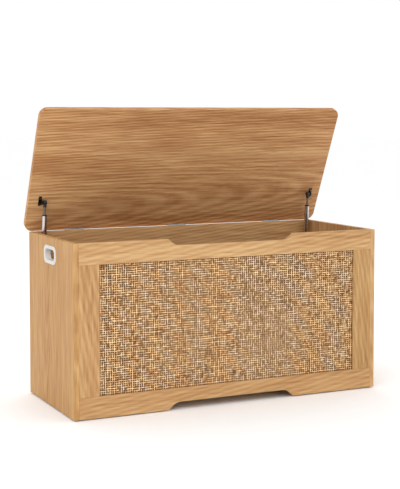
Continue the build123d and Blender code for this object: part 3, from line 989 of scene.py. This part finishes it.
@dataclass
class Fittings:
    """Grip liners, hinges, struts, glides and fasteners that keep their CAD shapes."""

    hands: tuple[str, ...] = ("left", "right")
    hinges: tuple[str, ...] = ("left", "middle", "right")

    def each(self, stems: Sequence[str], ends: Sequence[str]) -> list[str]:
        """List the node names made of each stem with each ending."""
        return [f"{stem}_{end}" for stem in stems for end in ends]

    def dress(self) -> Material:
        """Give every fitting its finish.

        Returns:
            The zinc-plated finish, which the screws share.
        """
        white = MouldedPlastic("white_abs", "CFCBC6", "DAD6D1", (0.36, 0.46)).material()
        black = MouldedPlastic("black_nylon", "121212", "1D1D1E", (0.38, 0.52)).material()
        zinc = PlatedSteel("zinc_plated_steel", "8E9093", "B9BBBE", (0.28, 0.42), (300, 300, 300))
        chrome = PlatedSteel("chromed_steel", "B4B5B8", "C9CACC", (0.10, 0.16), (90, 90, 900))
        # The tube's peach colour is a painted reflection of the oak, and its near-black edge tint is a
        # painted reflection of the dark inside of the box along its sides.
        tube = PlatedSteel(
            "lacquered_steel_tube", "C9BDB8", "E2D7D2", (0.2, 0.26), (120, 120, 900), "120E0D"
        )
        gunmetal = PlatedSteel("black_zinc_steel", "2B2827", "423D3A", (0.34, 0.46), (300, 300, 300))
        ground = PlatedSteel("ground_steel", "6B625B", "85796F", (0.34, 0.44), (90, 90, 900))
        zinc_finish = zinc.material()
        dress(self.each(["grip_liner"], self.hands), white)
        stems = ["strut_foot_socket", "strut_head_socket", "strut_cap", "strut_guide", "strut_piston"]
        dress(self.each(stems, self.hands) + ["foot_glides"], black)
        stems = ["strut_foot_bracket", "strut_foot_stud", "strut_head_bracket", "strut_head_stud"]
        dress(self.each(stems, self.hands), gunmetal.material())
        stems = ["hinge_case_leaf", "hinge_lid_leaf", "hinge_pin"]
        dress(self.each(stems, self.hinges), zinc_finish)
        dress(["cam_bolts", "cam_discs"], zinc_finish)
        dress(self.each(["strut_rod"], self.hands), chrome.material())
        dress(self.each(["strut_neck"], self.hands), ground.material())
        dress(self.each(["strut_tube"], self.hands), tube.material())
        beads = self.each(["bead"], ["top", "bottom", "left", "right"])
        dress(beads + ["dowels"], Beech().material())
        dress(["backing_panel"], HardboardWithPaintedShade().material())
        return zinc_finish


@dataclass
class Studio:
    """A white floor and backdrop, broad soft lights and the camera."""

    floor_reach: float = 40.0
    lamp_aim: Triple = (0.0, 0.0, 0.3)
    camera_place: Triple = (-1.5744, -3.2543, 0.8305)
    camera_yaw: float = 25.706
    camera_dip: float = 3.354
    lens: float = 88.78
    sensor_width: float = 36.0
    shift_up: float = -0.12

    def build(self) -> None:
        """Set up the floor, the backdrop's light, the lamps and the camera."""
        self._floor()
        self._surroundings()
        self._lamp("key_softbox", place=(-2.6, -3.0, 3.0), size=2.4, watts=46.0)
        self._lamp("fill_softbox", place=(2.8, -2.2, 2.4), size=2.6, watts=6.0)
        self._lamp("back_softbox", place=(0.5, 2.8, 3.0), size=2.6, watts=20.0)
        self._camera()
        bpy.context.scene.view_settings.view_transform = "Standard"

    def _floor(self) -> None:
        """Lay a matt white floor with a rounded outline."""
        rest_hands()
        bpy.ops.mesh.primitive_circle_add(vertices=96, radius=self.floor_reach, fill_type="NGON")
        floor = name_active("studio_floor")
        settle(floor)
        material, tree, shader = new_material("matt_white_vinyl")
        here = put(tree, "TexCoord").outputs["Object"]
        colour = ramp(tree, noise(tree, here, 3.0), ((0.3, "FDFEFF"), (0.7, "FFFFFF")))
        tree.links.new(colour, shader.inputs["Base Color"])
        shader.inputs["Roughness"].default_value = 0.9
        shader.inputs["Specular IOR Level"].default_value = 0.1
        floor.data.materials.append(material)

    def _surroundings(self) -> None:
        """Light the scene evenly from a white surround."""
        world = bpy.data.worlds.new("white_surround")
        world.use_nodes = True
        world.node_tree.nodes.clear()
        background = put(
            world.node_tree,
            "Background",
            values={"Color": (1, 1, 1, 1), "Strength": 1.0},
        )
        put(world.node_tree, "OutputWorld", links={"Surface": background.outputs[0]})
        bpy.context.scene.world = world

    def _lamp(self, name: str, place: Triple, size: float, watts: float) -> None:
        """Hang a square softbox that looks at the box."""
        light = bpy.data.lights.new(name, "AREA")
        light.shape = "SQUARE"
        light.size = size
        light.energy = watts
        lamp = bpy.data.objects.new(name, light)
        bpy.context.scene.collection.objects.link(lamp)
        lamp.location = place
        aim = Vector(self.lamp_aim) - lamp.location
        lamp.rotation_euler = aim.to_track_quat("-Z", "Y").to_euler()

    def _camera(self) -> None:
        """Stand the camera in front of the box, to its left."""
        lens = bpy.data.cameras.new("camera")
        lens.lens = self.lens
        lens.sensor_width = self.sensor_width
        lens.shift_y = self.shift_up
        camera = bpy.data.objects.new("camera", lens)
        bpy.context.scene.collection.objects.link(camera)
        camera.location = self.camera_place
        yaw, dip = radians(self.camera_yaw), radians(self.camera_dip)
        aim = Vector((sin(yaw) * cos(dip), cos(yaw) * cos(dip), -sin(dip)))
        camera.rotation_euler = aim.to_track_quat("-Z", "Y").to_euler()
        bpy.context.scene.camera = camera


def lid_angle() -> float:
    """Return how far the lid stands open in the frame, in radians."""
    hinge = next(joint for joint in frame["joints"] if joint["name"] == "lid_hinge")
    return radians(-min(hinge["range_deg"]))


def main() -> None:
    """Build and dress every sub-assembly, then the studio."""
    logging.basicConfig(level=logging.INFO, format="%(name)s %(message)s")
    Boards(lid_angle()).dress()
    zinc = Fittings().dress()
    WovenFront().build()
    Screws().build(zinc)
    Studio().build()


if __name__ == "__main__":
    main()
